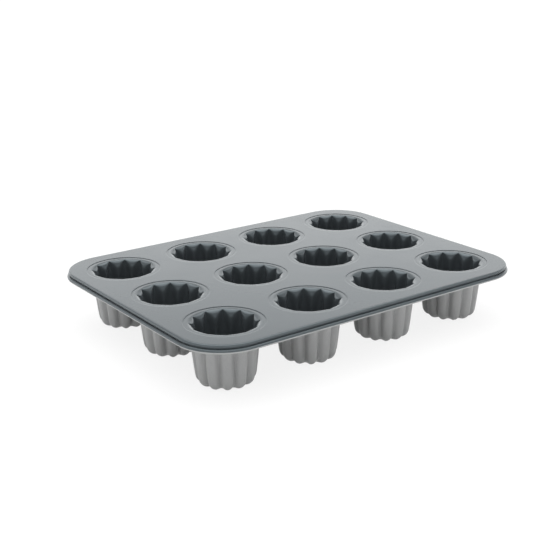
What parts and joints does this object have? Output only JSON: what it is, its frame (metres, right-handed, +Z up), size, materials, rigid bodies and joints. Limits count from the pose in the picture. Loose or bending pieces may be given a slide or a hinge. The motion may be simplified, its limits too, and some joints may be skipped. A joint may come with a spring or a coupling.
{
  "type": "canele pan",
  "caption": "Coated steel baking pan for caneles: a flat deck with a rolled, wired rim carries rows of deep fluted cups crimped into stepped seats.",
  "frame": {"origin": "centre of the pan in plan, on the surface that the cup bases stand on", "axes": "+Z up, out of the cup mouths; +X along the long side, to the right as seen from the front row of cups; +Y from the front row to the back row"},
  "size_m": [0.3326, 0.2552, 0.0497],
  "materials": {
    "deck_coat": "satin charcoal non-stick coat",
    "cup_coat": "satin warm grey coat outside, charcoal non-stick coat inside",
    "wire_steel": "bare drawn steel wire"
  },
  "bodies": {
    "root": {"deck_plate": "deck_coat", "rim_wire": "wire_steel", "cup_a1": "cup_coat", "cup_a2": "cup_coat", "cup_a3": "cup_coat", "cup_a4": "cup_coat", "cup_b1": "cup_coat", "cup_b2": "cup_coat", "cup_b3": "cup_coat", "cup_b4": "cup_coat", "cup_c1": "cup_coat", "cup_c2": "cup_coat", "cup_c3": "cup_coat", "cup_c4": "cup_coat"}
  },
  "joints": []
}
